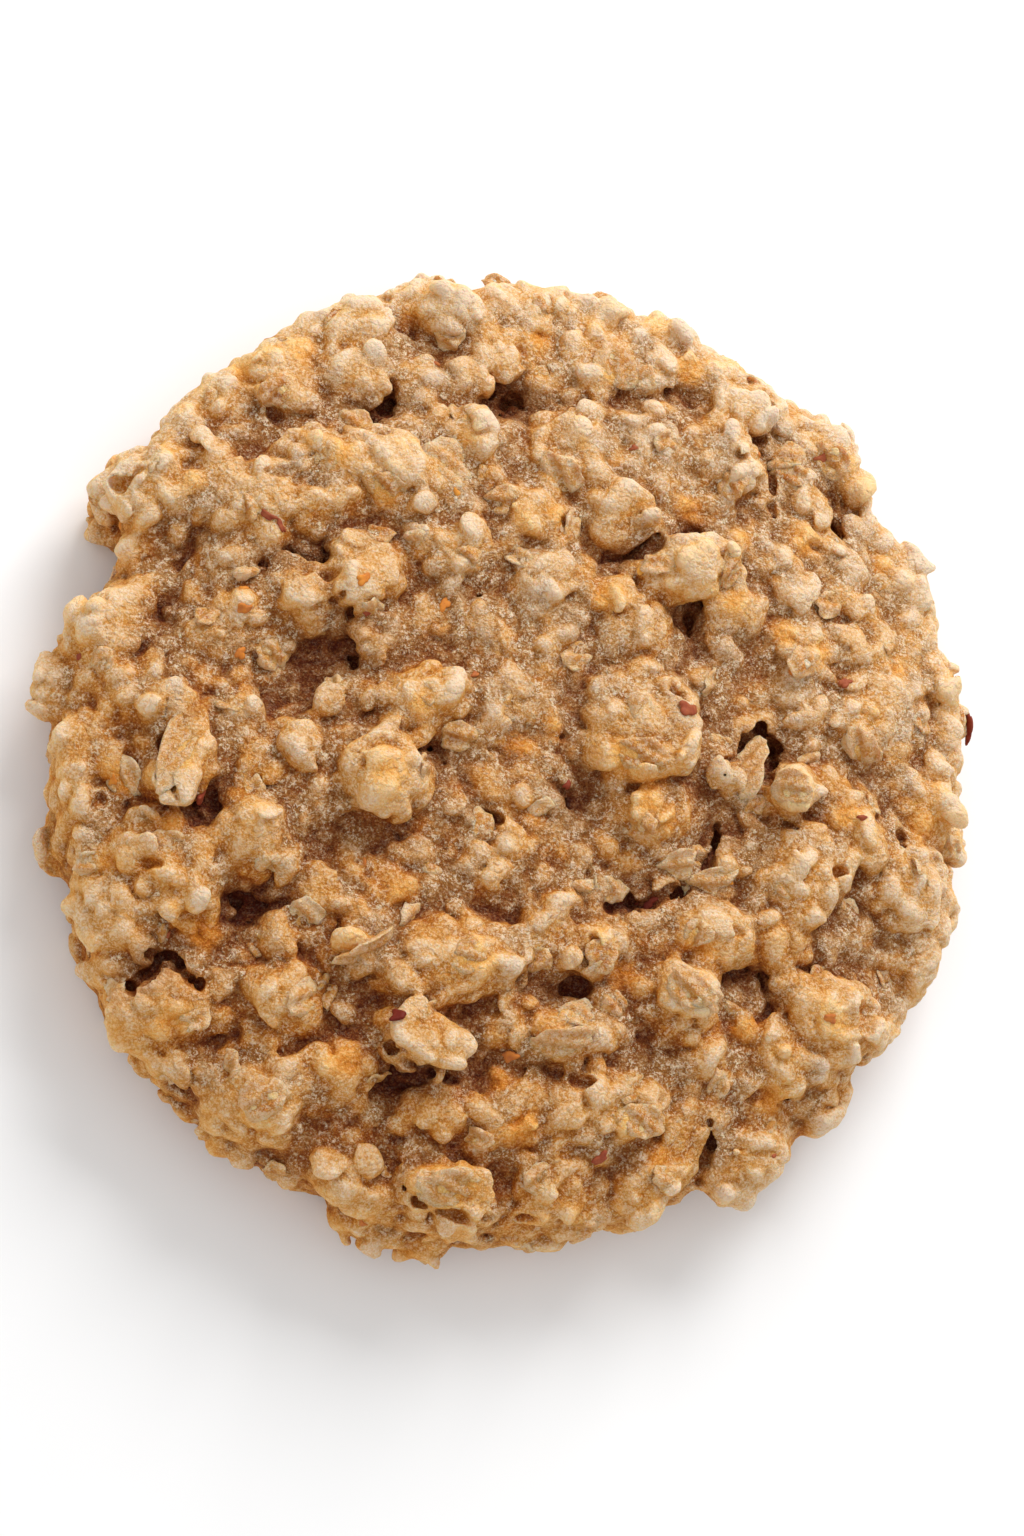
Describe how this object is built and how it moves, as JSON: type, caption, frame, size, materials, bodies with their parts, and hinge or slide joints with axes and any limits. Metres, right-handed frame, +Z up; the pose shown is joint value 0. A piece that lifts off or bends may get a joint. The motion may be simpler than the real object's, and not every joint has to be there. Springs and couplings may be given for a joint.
{
  "type": "oatmeal cookie",
  "caption": "Thick round oatmeal pecan cookie with a craggy top of fused oats, dough clumps and nut pieces, a lumpy side wall and a flat underside.",
  "frame": {"origin": "middle of the outline on the flat underside, at z = 0", "axes": "+Z up out of the craggy top; seen from above with +X to the right, +Y points to the edge shown at the top of the picture"},
  "size_m": [0.13, 0.1322, 0.0248],
  "materials": {
    "baked_dough": "dull baked oat dough, golden tan on the lumps, greyish brown in the hollows"
  },
  "bodies": {
    "root": {"cookie": "baked_dough"}
  },
  "joints": []
}
